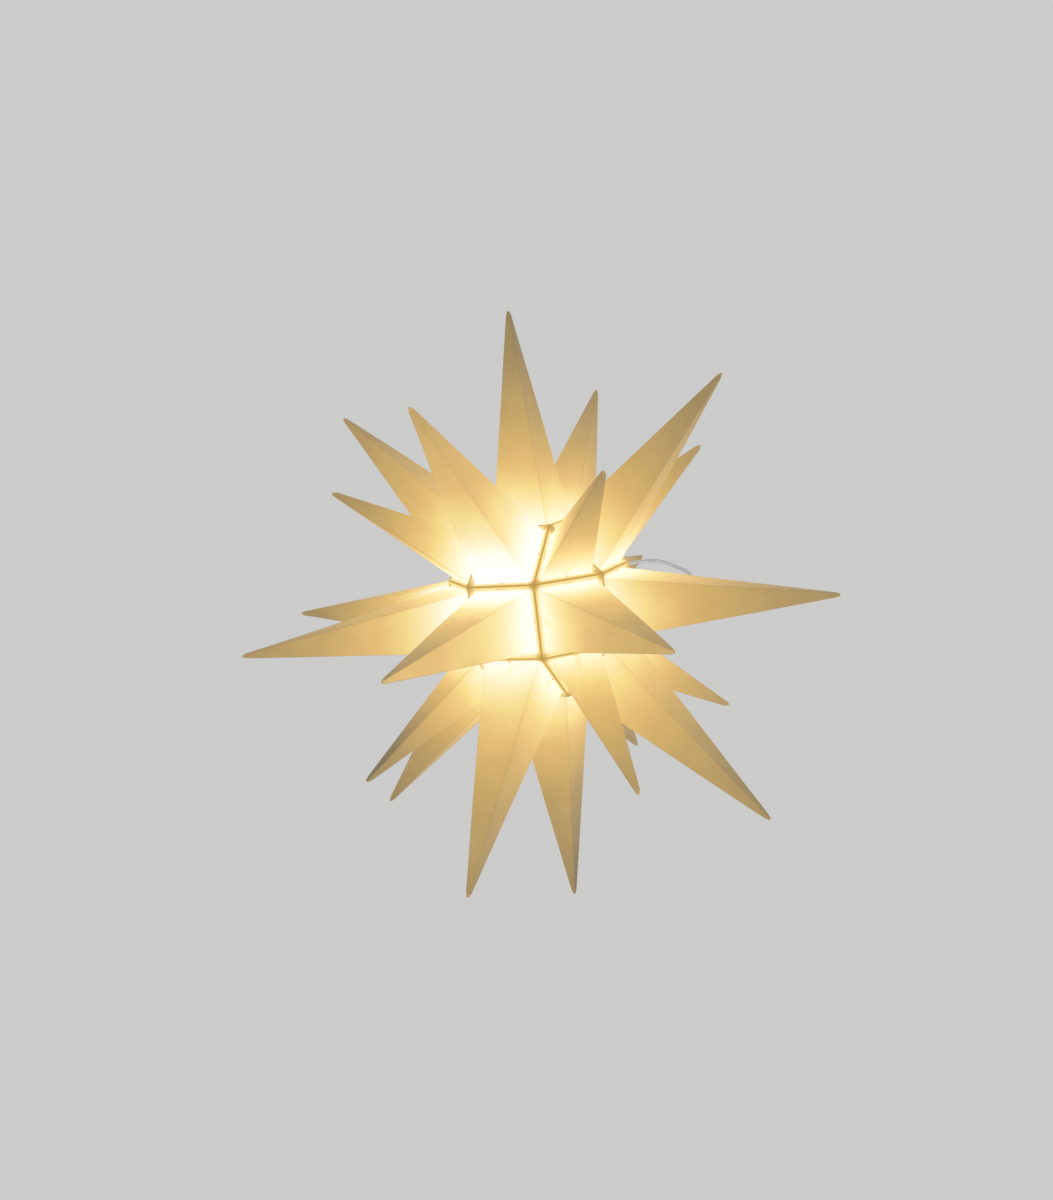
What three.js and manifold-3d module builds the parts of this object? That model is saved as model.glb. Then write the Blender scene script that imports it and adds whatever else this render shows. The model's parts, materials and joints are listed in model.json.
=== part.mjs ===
// Hanging star lantern: a rhombicuboctahedral core of 17 long four-sided points and
// 8 short three-sided points, closed at the top by a square lid that carries the
// wire bail, the cable gland, the E14 lampholder and the lamp.
// Millimetres, +Z up. The origin is the point of the bail where a hook carries it.
import * as THREE from 'three';
import { mergeVertices } from 'three/addons/utils/BufferGeometryUtils.js';
import Module from 'manifold-3d';

const wasm = await Module();
wasm.setup();

// ---------------------------------------------------------------- driving dimensions
const TIP_LONG = 200;            // centre of the star to the tip of a four-sided point
const TIP_SHORT = 162;           // centre of the star to the tip of a three-sided point
const HALF_EDGE = 22.2;          // half an edge of the core polyhedron
const S = 1 + Math.SQRT2;        // rhombicuboctahedron: square face distance / half edge
const FACE_SQ = HALF_EDGE * S;                         // centre to a square face
const FACE_TRI = HALF_EDGE * (S + 2) / Math.sqrt(3);   // centre to a triangular face
const FLARE_SQ = Math.PI / 8;                          // seam plane to the axis of a square
const FLARE_TRI = Math.acos((S + 2) / Math.sqrt(3) / Math.hypot(S, 1)); // and of a triangle
const LIP_K = 1.064;             // outer edge of a lip / its root, measured from the centre
const LIP_T = 1.8;               // lip thickness
const SEAM_GAP = 0.30;           // between the two lips of a seam
const WALL = 1.0;                // wall of a point
const ROOT = 1.1;                // floor of the groove between lip and point
const TIP_FLAT = 1.35;           // half width of the blunt tip
const LID_T = 1.8;               // lid plate
const TAB_W = 15, TAB_T = 1.2;   // grip tabs of the lid
const EAR_Y = 14.6, EAR_T = 2.4, EAR_W = 8.5, EAR_H = 9.6, EAR_HOLE = 1.65;
const WIRE_R = 1.3;              // bail wire
const BAIL_H = 52;               // pivot to the wire's centre line at the top
const BAIL_HALF = 18.2;          // half width of the bail at its legs
const PIVOT_Z = FACE_SQ + LID_T + 6.2;
const GAP = 0.3;
const HANG_Z = PIVOT_Z + BAIL_H - WIRE_R;   // underside of the bail's top, above the centre

// ---------------------------------------------------------------- helpers
const mat = (color, roughness, metalness = 0, extra = {}) =>
  new THREE.MeshStandardMaterial({ color, roughness, metalness, ...extra });
const M = {
  point: mat(0xf2dcae, 0.55), lid: mat(0xe9d9b8, 0.5), steel: mat(0xb9bcc0, 0.28, 1),
  gland: mat(0xe6e2d8, 0.5), rubber: mat(0x35332f, 0.85), holder: mat(0xf0ece2, 0.42),
  brass: mat(0xc9a14e, 0.3, 1), tin: mat(0xc8ccd0, 0.3, 1), lampBody: mat(0xf5f4f0, 0.4),
  globe: mat(0xfff3d6, 0.35), ceramic: mat(0x3a3a3c, 0.5), board: mat(0xf4f4ee, 0.55),
};
const group = new THREE.Group();
const star = new THREE.Group();
star.position.z = -HANG_Z;
group.add(star);

const add = (name, geo, material) => {
  const m = new THREE.Mesh(geo, material);
  m.name = name;
  star.add(m);
  return m;
};
// A turned piece about +Z from [radius, height] pairs.
const turned = (pts, seg = 24) => {
  const g = new THREE.LatheGeometry(pts.map(([r, z]) => new THREE.Vector2(r, z)), seg);
  g.rotateX(Math.PI / 2);
  return g;
};
const clean = (g) => {
  const h = g.clone();
  for (const k of Object.keys(h.attributes)) if (k !== 'position') h.deleteAttribute(k);
  return mergeVertices(h, 1e-4);
};
const solid = (g) => {
  const h = clean(g);
  return new wasm.Manifold(new wasm.Mesh({
    numProp: 3,
    vertProperties: new Float32Array(h.attributes.position.array),
    triVerts: new Uint32Array(h.index.array),
  }));
};
const geometry = (m) => {
  const r = m.getMesh();
  const g = new THREE.BufferGeometry();
  g.setAttribute('position', new THREE.BufferAttribute(new Float32Array(r.vertProperties), 3));
  g.setIndex(new THREE.BufferAttribute(new Uint32Array(r.triVerts), 1));
  return g;
};
const box = (x0, x1, y0, y1, z0, z1) => {
  const g = new THREE.BoxGeometry(x1 - x0, y1 - y0, z1 - z0);
  g.translate((x0 + x1) / 2, (y0 + y1) / 2, (z0 + z1) / 2);
  return g;
};
// A hexagonal prism about +Z, with its flats `af` apart.
const hexagon = (af, z0, z1) => {
  const g = new THREE.CylinderGeometry(af / Math.sqrt(3), af / Math.sqrt(3), z1 - z0, 6);
  g.rotateX(Math.PI / 2);
  g.translate(0, 0, (z0 + z1) / 2);
  return g;
};
const rod = (r, z0, z1, seg = 24) => {
  const g = new THREE.CylinderGeometry(r, r, z1 - z0, seg);
  g.rotateX(Math.PI / 2);
  g.translate(0, 0, (z0 + z1) / 2);
  return g;
};

// ---------------------------------------------------------------- the points
// Core directions are given in polyhedron axes p, q, r and turned so that the square
// face (1, 0, -1), which carries the lid, faces up.
const toFrame = ([p, q, r]) => new THREE.Vector3(-(p + r) / Math.SQRT2, q, (p - r) / Math.SQRT2);
const corners = [];
for (const long of [0, 1, 2])
  for (const a of [-1, 1]) for (const b of [-1, 1]) for (const c of [-1, 1]) {
    const v = [a, b, c];
    v[long] *= S;
    corners.push(toFrame(v));
  }
const faceCorner = (d) => {          // one corner of the face that d points at
  let best = null;
  for (const v of corners) if (!best || v.dot(d) > best.dot(d) + 1e-9) best = v;
  return best;
};
// Closed profile of a hollow point: [distance of the side from the axis, height].
const pointProfile = (n, inr, face, flare, tip) => {
  const off = (o) => o / Math.cos(flare);
  const g = SEAM_GAP / 2;
  const top = face * LIP_K;
  const base = inr - off(g + LIP_T);
  const slope = (base - TIP_FLAT) / (tip - face - ROOT);
  const side = (h) => TIP_FLAT + slope * (tip - h);
  const k = 1 / Math.cos(Math.PI / n);
  return [
    [side(face) - WALL, face],
    [inr - off(g), face],
    [inr * LIP_K - off(g), top],
    [inr * LIP_K - off(g + LIP_T), top],
    [side(face + ROOT), face + ROOT],
    [TIP_FLAT, tip - 1.0],
    [TIP_FLAT * 0.6, tip],
    [0, tip],
  ].map(([r, h]) => new THREE.Vector2(r * k, h)).concat([
    new THREE.Vector2(0, tip - 6),
    new THREE.Vector2((side(tip - 9) - WALL) * k, tip - 9),
    new THREE.Vector2((side(face) - WALL) * k, face),
  ]);
};
const pointMesh = (name, dir, n, inr, face, flare, tip) => {
  const d = toFrame(dir).normalize();
  const v = faceCorner(d);
  const radial = v.clone().addScaledVector(d, -v.dot(d)).normalize();
  const side = new THREE.Vector3().crossVectors(d, radial);
  const m = add(name, new THREE.LatheGeometry(pointProfile(n, inr, face, flare, tip), n), M.point);
  m.quaternion.setFromRotationMatrix(new THREE.Matrix4().makeBasis(side, d, radial));
  return m;
};
const LID = '1,0,-1';
let longCount = 0, shortCount = 0;
const dirs = [];
for (let p = -1; p <= 1; p++) for (let q = -1; q <= 1; q++) for (let r = -1; r <= 1; r++) {
  const size = Math.abs(p) + Math.abs(q) + Math.abs(r);
  if (size === 0 || `${p},${q},${r}` === LID) continue;
  dirs.push({ dir: [p, q, r], size, at: toFrame([p, q, r]).normalize() });
}
// Numbered from the top ring down, and round each ring from +X towards +Y.
const turn = (v) => (Math.hypot(v.x, v.y) < 1e-6 ? 0 : (Math.atan2(v.y, v.x) + 2 * Math.PI + 1e-6) % (2 * Math.PI));
dirs.sort((a, b) => (Math.abs(a.at.z - b.at.z) > 1e-6 ? b.at.z - a.at.z : turn(a.at) - turn(b.at)));
for (const { dir, size } of dirs) {
  if (size < 3)
    pointMesh(`long_point_${String(++longCount).padStart(2, '0')}`, dir, 4, HALF_EDGE, FACE_SQ, FLARE_SQ, TIP_LONG);
  else
    pointMesh(`short_point_${++shortCount}`, dir, 3, HALF_EDGE / Math.sqrt(3), FACE_TRI, FLARE_TRI, TIP_SHORT);
}

// ---------------------------------------------------------------- the lid
{
  const off = (o) => o / Math.cos(FLARE_SQ);
  const g = SEAM_GAP / 2, top = FACE_SQ * LIP_K, k = Math.SQRT2;
  const pts = [
    [0, FACE_SQ], [HALF_EDGE - off(g), FACE_SQ], [HALF_EDGE * LIP_K - off(g), top],
    [HALF_EDGE * LIP_K - off(g + LIP_T), top],
    [HALF_EDGE - off(g + LIP_T), FACE_SQ + LID_T], [0, FACE_SQ + LID_T],
  ].map(([r, h]) => new THREE.Vector2(r * k, h));
  const tray = new THREE.LatheGeometry(pts, 4);
  tray.rotateX(Math.PI / 2);
  tray.rotateZ(Math.PI / 4);
  let lid = solid(tray);
  // Grip tabs on the two edges beside four-sided points: they bridge the seam and
  // stand behind the neighbour's lip.
  const lipIn = HALF_EDGE * LIP_K - off(g + LIP_T), lipOut = HALF_EDGE * LIP_K - off(g);
  const outer = HALF_EDGE * LIP_K + off(g + LIP_T) + 0.42;
  for (const sx of [-1, 1]) {
    const shape = new THREE.Shape([
      [lipIn + 0.05, top - 0.8], [lipOut - 0.1, top - 0.4], [lipOut - 0.1, top + 0.35],
      [outer, top + 0.35], [outer, top - 1.5], [outer + 0.35, top - 1.85], [outer + TAB_T, top - 1.1],
      [outer + TAB_T, top + 0.35 + TAB_T * 0.6], [outer + TAB_T * 0.6, top + 0.35 + TAB_T],
      [lipIn + 0.5, top + 0.35 + TAB_T], [lipIn + 0.05, top + 0.9],
    ].map(([x, y]) => new THREE.Vector2(x * sx, y)));
    const e = new THREE.ExtrudeGeometry(shape, { depth: TAB_W, bevelEnabled: false });
    e.rotateX(Math.PI / 2);
    e.translate(0, TAB_W / 2, 0);
    lid = lid.add(solid(e));
  }
  // Ears for the bail.
  for (const sy of [-1, 1]) {
    const w = EAR_W / 2, z0 = FACE_SQ + LID_T - 0.5, r = EAR_W / 2;
    const shape = new THREE.Shape();
    shape.moveTo(-w - 1.2, z0);
    shape.lineTo(w + 1.2, z0);
    shape.lineTo(w, z0 + 1.8);
    shape.lineTo(w, PIVOT_Z);
    shape.absarc(0, PIVOT_Z, r, 0, Math.PI, false);
    shape.lineTo(-w, z0 + 1.8);
    shape.closePath();
    const e = new THREE.ExtrudeGeometry(shape, { depth: EAR_T, bevelEnabled: false, curveSegments: 8 });
    e.rotateX(Math.PI / 2);
    e.translate(0, sy * EAR_Y + EAR_T / 2, 0);
    lid = lid.add(solid(e));
    const hole = new THREE.CylinderGeometry(EAR_HOLE, EAR_HOLE, EAR_T + 4, 20);
    hole.translate(0, sy * EAR_Y, PIVOT_Z);
    lid = lid.subtract(solid(hole));
  }
  // Boss ring and hole for the cable gland.
  lid = lid.add(solid(rod(9.6, FACE_SQ - 0.8, FACE_SQ + 0.6, 32)));
  lid = lid.subtract(solid(rod(5.35, FACE_SQ - 3, FACE_SQ + LID_T + 3, 32)));
  add('lid', geometry(lid), M.lid);
}

// ---------------------------------------------------------------- the bail
{
  const z = PIVOT_Z, y = BAIL_HALF, t = PIVOT_Z + BAIL_H;
  const pts = [
    [-(EAR_Y - EAR_T / 2 - 1.6), z], [-(EAR_Y + EAR_T / 2 + 0.3), z], [-(y - 0.7), z + 0.35], [-y, z + 2.2],
    [-y, z + 14], [-(y - 0.6), z + 24], [-(y - 4.2), z + 35], [-(y - 9.2), z + 44],
    [-5.6, t - 2.4], [-2.6, t - 0.35], [0, t],
  ];
  const all = pts.concat(pts.slice(0, -1).reverse().map(([a, b]) => [-a, b]));
  const path = new THREE.CatmullRomCurve3(all.map(([a, b]) => new THREE.Vector3(0, a, b)), false, 'centripetal');
  const round = [];
  for (let i = 0; i < 8; i++) {
    const a = (i / 8) * Math.PI * 2;
    round.push(new THREE.Vector2(Math.cos(a) * WIRE_R, Math.sin(a) * WIRE_R));
  }
  add('bail', new THREE.ExtrudeGeometry(new THREE.Shape(round), { steps: 48, bevelEnabled: false, extrudePath: path }), M.steel);
}

// ---------------------------------------------------------------- the cable gland
const GLAND_Z = FACE_SQ + LID_T + GAP;           // underside of the gland's hexagon
{
  const z = GLAND_Z;
  // Body: hexagon, threaded stub for the nut, and a spigot through the lid.
  let b = solid(hexagon(15, z, z + 4.6))
    .add(solid(rod(6.2, z + 4, z + 11, 28)))
    .add(solid(rod(5.0, z - 19.5, z + 1, 28)));
  b = b.subtract(solid(turned([[0, z - 21], [3.7, z - 21], [3.7, z + 5], [4.9, z + 6.6], [4.9, z + 13], [0, z + 13]], 24)));
  add('gland_body', geometry(b), M.gland);
  // Rubber bush in the stub.
  add('gland_seal', turned([[3.55, z + 7.0], [4.55, z + 7.0], [4.55, z + 11.4], [3.55, z + 11.4], [3.55, z + 7.0]], 20), M.rubber);
  // Clamp ring that the nut presses down.
  add('gland_clamp_ring', turned([[3.6, z + 11.75], [5.9, z + 11.75], [5.9, z + 13.4], [4.9, z + 14.2], [3.6, z + 14.2], [3.6, z + 11.75]], 20), M.gland);
  // Nut: hexagonal skirt under a domed collar.
  let n = solid(hexagon(15, z + 4.9, z + 12.6))
    .add(solid(turned([[0, z + 12], [7.2, z + 12], [7.2, z + 13.4], [6.6, z + 15.2], [5.4, z + 16.6], [0, z + 16.6]], 24)));
  n = n.subtract(solid(turned([[0, z + 3], [6.5, z + 3], [6.5, z + 13.9], [5.3, z + 14.7], [3.8, z + 14.7], [3.8, z + 18], [0, z + 18]], 24)));
  add('gland_nut', geometry(n), M.gland);
  // Lock nut under the lid.
  let l = solid(hexagon(14, FACE_SQ - 0.8 - GAP - 3, FACE_SQ - 0.8 - GAP));
  l = l.subtract(solid(rod(5.3, FACE_SQ - 8, FACE_SQ + 2, 24)));
  add('gland_lock_nut', geometry(l), M.gland);
}

// ---------------------------------------------------------------- the E14 lampholder
const HOLD_TOP = FACE_SQ - 0.8 - GAP - 3 - GAP;   // top of the holder's collar, under the lock nut
const RIM_Z = 3.5;                                // lower rim of the holder
{
  // Cap: threaded collar and shoulder, screwed on the gland's spigot.
  add('lampholder_cap', turned([
    [5.3, HOLD_TOP], [5.3, HOLD_TOP - 12.5], [11.6, HOLD_TOP - 15.5], [11.6, 28.4], [13.4, 28.4], [13.4, 32.0],
    [12.9, HOLD_TOP - 14.6], [8.4, HOLD_TOP - 10.2], [8.4, HOLD_TOP], [5.3, HOLD_TOP],
  ], 28), M.holder);
  // Skirt round the lamp's cap, with its stepped rim.
  add('lampholder_skirt', turned([
    [9.6, RIM_Z], [12.0, RIM_Z], [12.0, RIM_Z + 3], [12.9, RIM_Z + 3.6], [13.4, 28.1], [10.6, 28.1], [9.6, RIM_Z],
  ], 28), M.holder);
  // Contact block with the terminals.
  let block = solid(rod(10.2, 28.4, 33.6, 28));
  for (const sx of [-1, 1]) block = block.subtract(solid(box(sx * 5 - 1.6, sx * 5 + 1.6, 3.2, 12, 29.8, 35)));
  block = block.subtract(solid(rod(2.7, 27, 30.35, 20)));
  add('lampholder_contact_block', geometry(block), M.ceramic);
  for (const [i, sx] of [[1, -1], [2, 1]]) {
    const s = rod(1.15, 30.1, 34.4, 12);
    s.translate(sx * 5, 5.2, 0);
    add(`terminal_screw_${i}`, s, M.brass);
  }
  // Threaded shell that takes the lamp's cap.
  add('lampholder_thread', turned([
    [7.35, RIM_Z + 4], [8.0, RIM_Z + 4], [8.0, 27.0], [10.2, 27.0], [10.2, 27.9], [7.35, 27.9], [7.35, RIM_Z + 4],
  ], 28), M.brass);
  // Centre contact: a sprung tongue under the block.
  {
    const shape = new THREE.Shape([
      [-1.9, 30.0], [-1.9, 29.5], [-0.4, 29.4], [1.5, 27.2], [1.95, 27.35], [0.1, 29.8], [0.0, 30.0],
    ].map(([x, y]) => new THREE.Vector2(x, y)));
    const e = new THREE.ExtrudeGeometry(shape, { depth: 2.4, bevelEnabled: false });
    e.rotateX(Math.PI / 2);
    e.translate(0, 1.2, 0);
    add('lampholder_centre_contact', e, M.brass);
  }
}

// ---------------------------------------------------------------- the lamp
const GLOBE_R = 17.5, GLOBE_Z = -20;
{
  // Contact stud and its insulator, at the top of the screw cap.
  add('lamp_contact_stud', turned([[0, 24.75], [2.2, 24.75], [2.2, 26.0], [1.4, 26.7], [0, 26.7]], 16), M.tin);
  add('lamp_contact_insulator', turned([[0, 20.6], [5.6, 20.6], [5.6, 22.3], [3.0, 24.4], [0, 24.4]], 20), M.ceramic);
  // Rolled screw cap E14.
  const pitch = 2.82, wave = [];
  for (let i = 0; i <= 16; i++) {
    const h = 5.0 + (15.2 * i) / 16;
    wave.push([6.75 + 0.22 * Math.cos(((h - 5.0) / pitch) * Math.PI * 2), h]);
  }
  add('lamp_screw_cap', turned([
    [5.9, 4.2], [6.6, 4.2], ...wave, [6.3, 20.3], [5.9, 20.3], [5.9, 4.2],
  ], 20), M.tin);
  // Housing of the driver: a plug in the screw cap, widening to the globe's seat.
  add('lamp_housing', turned([
    [0, -7.6], [14.9, -7.6], [14.9, -9.6], [16.4, -9.6], [16.4, -8.2], [15.4, -5.6], [12.6, -1.6], [9.2, 2.2],
    [7.2, 3.8], [5.5, 3.8], [5.5, 10.0], [0, 10.0],
  ], 28), M.lampBody);
  // Light-emitting board with its chips.
  let board = solid(rod(14.3, -9.1, -7.9, 28));
  for (let i = 0; i < 6; i++) {
    const a = (i * Math.PI) / 3, c = box(-1.7, 1.7, -1.4, 1.4, -9.9, -8.9);
    c.translate(8.2, 0, 0);
    c.rotateZ(a);
    board = board.add(solid(c));
  }
  add('lamp_led_board', geometry(board), M.board);
  // Globe: a thin ball, open at its neck.
  const ball = [], t0 = Math.acos(10.1 / GLOBE_R), n = 8;
  for (let i = 0; i <= n; i++) {
    const t = t0 + ((Math.PI - t0) * i) / n;
    ball.push([i === n ? 0 : GLOBE_R * Math.sin(t), GLOBE_Z + GLOBE_R * Math.cos(t)]);
  }
  const inner = [], ri = GLOBE_R - 1.0;
  for (let i = 0; i <= n; i++) {
    const t = t0 + ((Math.PI - t0) * i) / n;
    inner.push([i === n ? 0 : ri * Math.sin(t), GLOBE_Z + ri * Math.cos(t) + (i === 0 ? 10.1 - ri * Math.cos(t0) : 0)]);
  }
  add('lamp_globe', turned([...inner, ...ball.slice().reverse(), inner[0]], 24), M.globe);
}

export default group;
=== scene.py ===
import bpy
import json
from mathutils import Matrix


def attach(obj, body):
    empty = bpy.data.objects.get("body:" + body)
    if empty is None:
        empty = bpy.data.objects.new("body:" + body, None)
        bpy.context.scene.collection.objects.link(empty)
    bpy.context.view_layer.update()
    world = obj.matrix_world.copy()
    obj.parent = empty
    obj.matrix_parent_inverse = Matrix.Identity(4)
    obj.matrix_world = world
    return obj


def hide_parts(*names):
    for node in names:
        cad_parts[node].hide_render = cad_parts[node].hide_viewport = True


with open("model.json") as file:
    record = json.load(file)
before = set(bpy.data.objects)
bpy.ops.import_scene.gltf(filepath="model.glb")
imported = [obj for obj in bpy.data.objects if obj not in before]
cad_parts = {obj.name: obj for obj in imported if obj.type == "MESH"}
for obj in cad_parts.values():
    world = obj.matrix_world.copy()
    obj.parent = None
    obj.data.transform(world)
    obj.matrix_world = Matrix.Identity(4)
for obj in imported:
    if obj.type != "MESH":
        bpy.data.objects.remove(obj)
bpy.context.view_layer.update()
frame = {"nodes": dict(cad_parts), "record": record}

import json
import math

import bpy
import numpy as np
from mathutils import Matrix, Vector

MM = 0.001
HALF_EDGE = 22.2
S = 1 + math.sqrt(2)
FACE_SQ = HALF_EDGE * S
FACE_TRI = HALF_EDGE * (S + 2) / math.sqrt(3)
FLARE_SQ = math.pi / 8
FLARE_TRI = math.acos((S + 2) / math.sqrt(3) / math.hypot(S, 1))
LIP_K, LIP_T, SEAM_GAP = 1.064, 1.8, 0.30
WALL, ROOT, TIP_FLAT = 1.0, 1.1, 1.05
TIP_LONG, TIP_SHORT = 200.0, 162.0
LID_T, EAR_Y, EAR_T, WIRE_R, BAIL_H, BAIL_HALF = 1.8, 14.6, 2.4, 1.3, 52.0, 18.2
PIVOT_Z = FACE_SQ + LID_T + 6.2
HANG_Z = PIVOT_Z + BAIL_H - WIRE_R
LAMP = np.array([0.0, 0.0, -20.0])          # middle of the lamp's globe, from the star's centre
rng = np.random.default_rng(25)

scene = bpy.context.scene
scene.view_settings.view_transform = "Standard"
scene.view_settings.look = "None"
scene.view_settings.exposure = 0.0
scene.view_settings.gamma = 1.0


# ------------------------------------------------------------------ camera, light, floor
def make_camera():
    data = bpy.data.cameras.new("camera")
    data.sensor_fit = "AUTO"
    data.sensor_width = 36.0
    data.lens = 1167.0 / 1200.0 * 36.0
    data.shift_x = 0.0018
    data.shift_y = -0.1201
    data.dof.use_dof = False
    data.clip_start, data.clip_end = 0.02, 60.0
    cam = bpy.data.objects.new("camera", data)
    scene.collection.objects.link(cam)
    back = Vector((-0.94446, 0.0400, -0.32619)).normalized()
    up = Vector((0.00049, 0.9927, 0.12028))
    up = (up - back * up.dot(back)).normalized()
    right = up.cross(back).normalized()
    m = Matrix((right, up, back)).transposed().to_4x4()
    m.translation = Vector((-0.7433, 0.1334, -0.3693))
    cam.matrix_world = m
    scene.camera = cam
    return cam


def area(name, at, target, size, power, colour=(1, 1, 1)):
    data = bpy.data.lights.new(name, "AREA")
    data.shape = "DISK"
    data.size = size
    data.energy = power
    data.color = colour
    o = bpy.data.objects.new(name, data)
    scene.collection.objects.link(o)
    o.location = at
    o.rotation_mode = "QUATERNION"
    o.rotation_quaternion = (Vector(target) - Vector(at)).to_track_quat("-Z", "Y")
    return o


PALE = (0.60, 0.60, 0.595)
make_camera()
world = bpy.data.worlds.new("studio")
scene.world = world
world.use_nodes = True
bg = world.node_tree.nodes["Background"]
bg.inputs["Color"].default_value = (*PALE, 1)
bg.inputs["Strength"].default_value = 1.0
area("key", (-1.1, -1.3, 1.1), (0, 0, -0.11), 1.8, 5.0, (1.0, 0.985, 0.96))
area("fill", (0.6, 1.7, 0.3), (0, 0, -0.11), 1.8, 3.0, (0.97, 0.985, 1.0))


# ------------------------------------------------------------------ node helpers
class Nodes:
    """Short calls for building one material."""

    def __init__(self, name):
        self.mat = bpy.data.materials.new(name)
        self.mat.use_nodes = True
        self.tree = self.mat.node_tree
        self.tree.nodes.clear()
        self.out = self.tree.nodes.new("ShaderNodeOutputMaterial")
        self.bsdf = self.tree.nodes.new("ShaderNodeBsdfPrincipled")
        self.tree.links.new(self.bsdf.outputs[0], self.out.inputs["Surface"])

    def new(self, kind, **props):
        n = self.tree.nodes.new(kind)
        for k, v in props.items():
            setattr(n, k, v)
        return n

    def link(self, a, b):
        self.tree.links.new(a, b)

    def put(self, value, socket):
        if isinstance(value, bpy.types.NodeSocket):
            self.link(value, socket)
        else:
            socket.default_value = value

    def math(self, op, a, b=None, c=None, clamp=False):
        n = self.new("ShaderNodeMath", operation=op, use_clamp=clamp)
        for i, v in enumerate((a, b, c)):
            if v is not None:
                self.put(v, n.inputs[i])
        return n.outputs[0]

    def attr(self, name, out="Fac"):
        return self.new("ShaderNodeAttribute", attribute_name=name).outputs[out]

    def coord(self):
        return self.new("ShaderNodeTexCoord").outputs["Object"]

    def scaled(self, vector, scale, offset=(0, 0, 0)):
        n = self.new("ShaderNodeMapping")
        self.link(vector, n.inputs["Vector"])
        n.inputs["Scale"].default_value = scale
        n.inputs["Location"].default_value = offset
        return n.outputs[0]

    def noise(self, vector, scale, detail=4.0, rough=0.55, out="Fac", distortion=0.0):
        n = self.new("ShaderNodeTexNoise")
        self.link(vector, n.inputs["Vector"])
        n.inputs["Scale"].default_value = scale
        n.inputs["Detail"].default_value = detail
        n.inputs["Roughness"].default_value = rough
        n.inputs["Distortion"].default_value = distortion
        return n.outputs[out]

    def range(self, value, a, b, c, d, smooth=False):
        n = self.new("ShaderNodeMapRange")
        n.interpolation_type = "SMOOTHSTEP" if smooth else "LINEAR"
        self.link(value, n.inputs["Value"])
        for k, v in zip(("From Min", "From Max", "To Min", "To Max"), (a, b, c, d)):
            n.inputs[k].default_value = v
        return n.outputs[0]

    def mix(self, fac, a, b, mode="MIX"):
        n = self.new("ShaderNodeMix", data_type="RGBA", blend_type=mode)
        self.put(fac, n.inputs[0])
        for v, s in ((a, n.inputs[6]), (b, n.inputs[7])):
            self.put(v if isinstance(v, bpy.types.NodeSocket) else (*v, 1.0) if len(v) == 3 else v, s)
        return n.outputs[2]

    def bump(self, height, strength, distance, normal=None):
        n = self.new("ShaderNodeBump")
        n.inputs["Strength"].default_value = strength
        n.inputs["Distance"].default_value = distance
        self.link(height, n.inputs["Height"])
        if normal is not None:
            self.link(normal, n.inputs["Normal"])
        return n.outputs[0]

    def ramp(self, value, stops, interpolation="LINEAR"):
        n = self.new("ShaderNodeValToRGB")
        r = n.color_ramp
        r.interpolation = interpolation
        while len(r.elements) > 1:
            r.elements.remove(r.elements[-1])
        for i, (pos, col) in enumerate(stops):
            e = r.elements[0] if i == 0 else r.elements.new(pos)
            e.position = pos
            e.color = (*col, 1.0)
        self.link(value, n.inputs[0])
        return n.outputs[0]


# Emission colour (linear) of the lit plastic against how much light comes through it; what the studio
# light adds is already taken off.
GLOW_TOP = 8.0
GLOW = [
    (0.0, (0, 0, 0)), (0.10, (0.015, 0.008, 0.001)), (0.20, (0.068, 0.036, 0.006)), (0.32, (0.152, 0.095, 0.024)),
    (0.435, (0.232, 0.136, 0.036)), (0.58, (0.322, 0.190, 0.047)), (0.83, (0.443, 0.270, 0.062)),
    (1.30, (0.608, 0.365, 0.103)), (1.93, (0.735, 0.552, 0.188)), (2.6, (0.780, 0.662, 0.348)),
    (3.3, (0.805, 0.750, 0.535)), (4.4, (0.840, 0.830, 0.765)), (8.0, (0.880, 0.895, 0.930)),
]
GLOW_DEEP = [
    (0.0, (0, 0, 0)), (0.10, (0.030, 0.016, 0.001)), (0.20, (0.090, 0.052, 0.006)), (0.32, (0.180, 0.110, 0.018)),
    (0.435, (0.260, 0.160, 0.027)), (0.58, (0.360, 0.225, 0.035)), (0.83, (0.470, 0.270, 0.050)),
    (1.30, (0.640, 0.400, 0.105)), (1.93, (0.760, 0.575, 0.200)), (2.6, (0.800, 0.665, 0.320)),
    (3.3, (0.820, 0.740, 0.460)), (4.4, (0.845, 0.810, 0.620)), (8.0, (0.880, 0.880, 0.820)),
]


def glow_colour(n, level, deep=None):
    """Emission colour for a light level; deep (0 to 1) is for thicker, more orange plastic."""
    x = n.math("POWER", n.math("DIVIDE", level, GLOW_TOP, clamp=True), 0.5)
    plain = n.ramp(x, [(math.sqrt(p / GLOW_TOP), c) for p, c in GLOW])
    if deep is None:
        return plain
    thick = n.ramp(x, [(math.sqrt(p / GLOW_TOP), c) for p, c in GLOW_DEEP])
    return n.mix(deep, plain, thick)


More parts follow.
